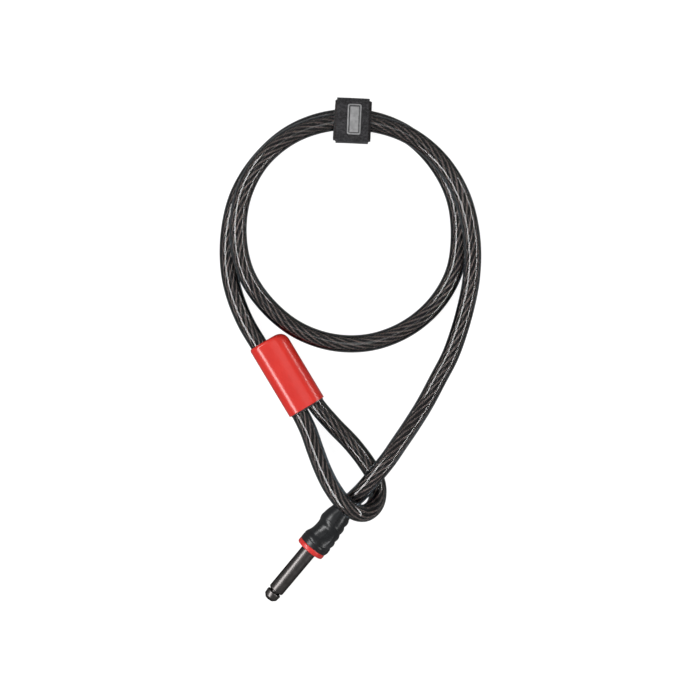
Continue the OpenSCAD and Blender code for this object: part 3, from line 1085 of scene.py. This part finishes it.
def makeStrap():
    band, pile, flapCut, hookCut = strap["band"], strap["pile"], strap["flap"], strap["hooks"]
    bandLine = evenly(strapLoop(band["inset"] + band["thick"] / 2, band["thick"] / 2), True)
    pileLine = overTop(pile["inset"] + pile["thick"] / 2, strap["farFoot"], strap["pileEnd"])
    flapLine = overTop(flapCut["thick"] / 2, strap["farFoot"], strap["nearEnd"])
    loop = ribbon("strapBand", bandLine, band, "cloth", closed=True, flare=strap["bandFlare"])
    soft = ribbon("strapPile", pileLine, pile, "pile")
    flap = ribbon("strapFlap", flapLine, flapCut, "cloth")
    hooks = ribbon("hookPad", nearSide(hookCut), hookCut, "hook")
    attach(loop, "strap")
    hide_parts("strap_band")
    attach(soft, "strap")
    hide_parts("strap_loop_pad")
    foldHeight = foldLine[2] / mm
    tuple(strapPlace(0, strap["foldStart"], foldHeight))
    tuple(strapPlace(0, strap["foldEnd"], foldHeight))
    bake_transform(flap)
    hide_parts("strap_flap", "strap_sewn_end")
    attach(hooks, "flap")
    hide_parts("strap_hook_pad")
    print("strap made,", len(flap.data.polygons), "faces in its flap")


makeStrap()


hookRows = {
    "pad": {"inset": 1.32, "thick": 0.01, "width": 17.4, "wobble": 0.0, "fray": 0.0, "across": 13},
    "everyStep": 3, "height": 0.16, "thickness": 0.05,
    "inward": 0.2, "smallest": 0.4,  # a face keeps its hook if it faces in and has this area, in square mm
}


def makeHooks():
    # rows of hooks stand on the pad's inner face, towards the pile
    pad = hookRows["pad"]
    line = nearSide(dict(pad, thick=0))[::hookRows["everyStep"]]
    base = ribbon("hookRows", line, pad, "hook")
    middle = strapPlace(0, 0, strap["sizeZ"] / 2)
    work = bmesh.new()
    work.from_mesh(base.data)
    work.normal_update()
    wrong = [face for face in work.faces
             if face.normal.dot(middle - face.calc_center_median()) < hookRows["inward"] * mm
             or face.calc_area() < hookRows["smallest"] * mm * mm]
    bmesh.ops.delete(work, geom=wrong, context="FACES")
    work.to_mesh(base.data)
    work.free()
    hooks = useGroup(base, hookTree(), {
        "Height": hookRows["height"] * mm, "Thickness": hookRows["thickness"] * mm,
        "Finish": finishes["hook"]})
    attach(hooks, "flap")
    print("hooks", len(hooks.data.polygons), "faces")


makeHooks()
threads = stitchTree()
for i, z in enumerate(stitches["rows"]):
    y = strap["sizeY"] / 2 + stitches["proud"]
    ends = [strapPlace(x, y, z) for x in (-stitches["across"], stitches["across"])]
    stitchRow(f"sewnSeam.{i}", ends, threads, "strap")
print("seams sewn")


patch = {"mid": (1.1, 0.3), "width": 9.4, "length": 21.0, "corner": 1.6, "lift": 0.04,
         "line": (0.95, 1.75), "lineDepth": 0.25, "rim": 0.56}


def patchRing(inset, high):
    # one rounded rectangle, bent down with the strap where the flap turns over its edges
    r = max(0.15, patch["corner"] - inset)
    halfW, halfL = patch["width"] / 2 - inset, patch["length"] / 2 - inset
    ring = []
    for i, (sx, sy) in enumerate([(1, 1), (-1, 1), (-1, -1), (1, -1)]):
        for k in range(7):
            a = math.pi / 2 * (i + k / 6)
            x = patch["mid"][0] + sx * (halfW - r) + r * math.cos(a)
            y = patch["mid"][1] + sy * (halfL - r) + r * math.sin(a)
            past = max(0, abs(y) - (strap["sizeY"] / 2 - strap["corner"]))
            drop = strap["corner"] - math.sqrt(strap["corner"] ** 2 - past ** 2)
            ring.append(strapPlace(x, y, strap["sizeZ"] + patch["lift"] + high - drop))
    return ring


def makePatch():
    # a plain raised patch: a rim, a dark line inlaid inside it and a flat field
    (start, end), rim = patch["line"], patch["rim"]
    low = rim - patch["lineDepth"]
    raised = [(0, 0), (0, rim - 0.2), (0.12, rim - 0.04), (0.4, rim), (start - 0.1, rim), (start, low),
              (end, low), (end + 0.1, rim), (end + 1.4, rim + 0.02)]
    lineStart, lineEnd, lineTop = start + 0.02, end - 0.02, rim - 0.1
    inlaid = [(lineStart, low - 0.05), (lineStart, lineTop), (lineEnd, lineTop), (lineEnd, low - 0.05)]
    for name, outline, finish in (("flapPatch", raised, "patch"), ("patchLine", inlaid, "seal")):
        solid = name == "flapPatch"
        rings = [patchRing(inset, high) for inset, high in outline]
        points, faces = stackRings(rings, closed=not solid)
        if solid:
            faces += endCaps(points, rings)
        piece = newObject(name, points, faces, finish, smooth=False)
        faceOutwards(piece)
        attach(piece, "flap")
        if solid:
            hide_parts("flap_patch")
    print("patch made")


makePatch()

# two metal parts inside keep their own shape
for nodeName, finish in (("crimp_sleeve", "crimp"), ("rope_socket", "socket")):
    mesh = frame["nodes"][nodeName].data
    mesh.materials.clear()
    mesh.materials.append(finishes[finish])

cordLength = round(pathLength(cablePath), 3)
